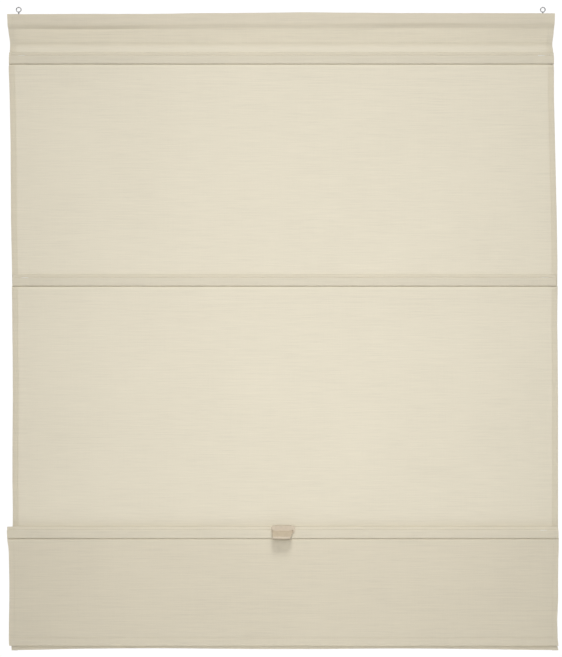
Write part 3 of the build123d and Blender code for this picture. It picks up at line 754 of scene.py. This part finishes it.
def skirt_shift(x, s, y, z):
    bulge = (y < PLANE4 - 0.0040) * (z > G4 + 0.002)
    dy = -1.0 * bulge * 0.00022 * wob(x, 81, 0.12, 3)
    dy = dy + lean(x, y, z, G4, 0.0010)
    dz = (z > G4 + TUCK - 0.006) * 0.00028 * wob(x, 83, 0.19, 3)
    hang = smooth(G4 - 0.002, G4 - 0.06, z)
    dy = dy + hang * (-0.0005 + 0.0006 * wob2(x, z, 87, 0.40, 0.5) * 1.0)
    dz = dz + smooth(-1.13, SKIRT_END, z) * 0.0005 * wob(x, 89, 0.5, 3)
    # the turned-up hem stands a hair proud, with a shallow furrow at its stitches
    dy = dy + 0.00022 * bump(SKIRT_END + HEM_B - 0.0008, 0.0011, z) * (y < -0.0042)
    return dy, dz, 0 * x


gap = np.where(q[:, 1] > G4, 0.00035, 0.00040)
skirt, spts, sq = cloth("front_cloth", q, lf, rt, CLOTH_MAT, n_mid=301, hem_gap=gap, shift=skirt_shift)
edge = row_at(sq, G4 + 0.0173, PLANE4 - 0.0018)
n_front = int(np.argmin(sq[:, 1]))
front_rows = (np.arange(len(sq)) < n_front) & (sq[:, 1] < G4 - 0.003) & (sq[:, 1] > SKIRT_END + 0.002)
hem_row = row_at(sq[:n_front], SKIRT_END + HEM_B - 0.0008)
lines = [(spts[edge], FRONT), (spts[hem_row], FRONT),
         (column_points(spts[front_rows], 0.0095, "left"), FRONT), (column_points(spts[front_rows], 0.0095, "right"), FRONT),
         (spts[-1] + [0, 0.0003, -0.0008], BACK)]
skirt_st = stitches("front_cloth_stitches", lines, THREAD_MAT)
for o in (skirt, skirt_st):
    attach(o, "pull_bar")
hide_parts("front_skirt")


# ---------------------------------------------------------- camera, lights
cam_data = bpy.data.cameras.new("camera")
cam = bpy.data.objects.new("camera", cam_data)
scene.collection.objects.link(cam)
cam.location = (0.0004, -2.6, -0.5834)
cam.rotation_euler = (math.pi / 2, 0, 0)
cam_data.sensor_width = 36.0
cam_data.lens = 36.0 * 2.6 / 1.2023
scene.camera = cam

world = bpy.data.worlds.new("studio")
scene.world = world
world.use_nodes = True
wn = world.node_tree
wn.nodes.clear()
wo = wn.nodes.new("ShaderNodeOutputWorld")
geo = wn.nodes.new("ShaderNodeTexCoord")
sep = wn.nodes.new("ShaderNodeSeparateXYZ")
wn.links.new(geo.outputs["Generated"], sep.inputs["Vector"])
FRONT_FILL, BACK_FILL = 0.09, 0.63
mr = wn.nodes.new("ShaderNodeMapRange")
mr.inputs["From Min"].default_value, mr.inputs["From Max"].default_value = -0.25, 0.25
mr.inputs["To Min"].default_value, mr.inputs["To Max"].default_value = FRONT_FILL, BACK_FILL
wn.links.new(sep.outputs["Y"], mr.inputs["Value"])
light_bg = wn.nodes.new("ShaderNodeBackground")
light_bg.inputs["Color"].default_value = (1, 1, 1, 1)
wn.links.new(mr.outputs["Result"], light_bg.inputs["Strength"])
seen_bg = wn.nodes.new("ShaderNodeBackground")
seen_bg.inputs["Color"].default_value = (1, 1, 1, 1)
seen_bg.inputs["Strength"].default_value = 1.03
lp = wn.nodes.new("ShaderNodeLightPath")
mixw = wn.nodes.new("ShaderNodeMixShader")
wn.links.new(lp.outputs["Is Camera Ray"], mixw.inputs["Fac"])
wn.links.new(light_bg.outputs["Background"], mixw.inputs[1])
wn.links.new(seen_bg.outputs["Background"], mixw.inputs[2])
wn.links.new(mixw.outputs["Shader"], wo.inputs["Surface"])


def area_light(name, loc, target, size, energy, colour=(1, 1, 1), tall=None):
    d = bpy.data.lights.new(name, "AREA")
    d.shape = "DISK" if tall is None else "RECTANGLE"
    d.size = size
    if tall is not None:
        d.size_y = tall
    d.energy = energy
    d.color = colour
    o = bpy.data.objects.new(name, d)
    scene.collection.objects.link(o)
    o.location = loc
    o.visible_camera = False
    o.rotation_euler = (Vector(target) - Vector(loc)).to_track_quat("-Z", "Y").to_euler()
    return o


area_light("key", (0.10, -2.0, 1.6), (0, 0, -0.6), 1.0, 47.0)
area_light("front_soft", (0.05, -1.3, -0.70), (0.05, 0, -0.70), 0.5, 10.8, tall=0.9)

# a round pale floor well below, outside the main view
fm, fnt, fout = new_material("pale_floor")
fc = fnt.nodes.new("ShaderNodeTexCoord").outputs["Object"]
fp = fnt.nodes.new("ShaderNodeBsdfPrincipled")
fnt.links.new(ramp(fnt, noise(fnt, fc, 6.0, 3.0, 0.5), [(0.3, (0.86, 0.86, 0.85)), (0.7, (0.90, 0.90, 0.89))]), fp.inputs["Base Color"])
fp.inputs["Roughness"].default_value = 0.7
fnt.links.new(fp.outputs["BSDF"], fout.inputs["Surface"])
fme = bpy.data.meshes.new("floor")
fb = bmesh.new()
bmesh.ops.create_circle(fb, cap_ends=True, radius=1.28, segments=96)
fb.to_mesh(fme)
fb.free()
fme.materials.append(fm)
floor = bpy.data.objects.new("floor", fme)
floor.location = (0, 0, -1.62)
scene.collection.objects.link(floor)
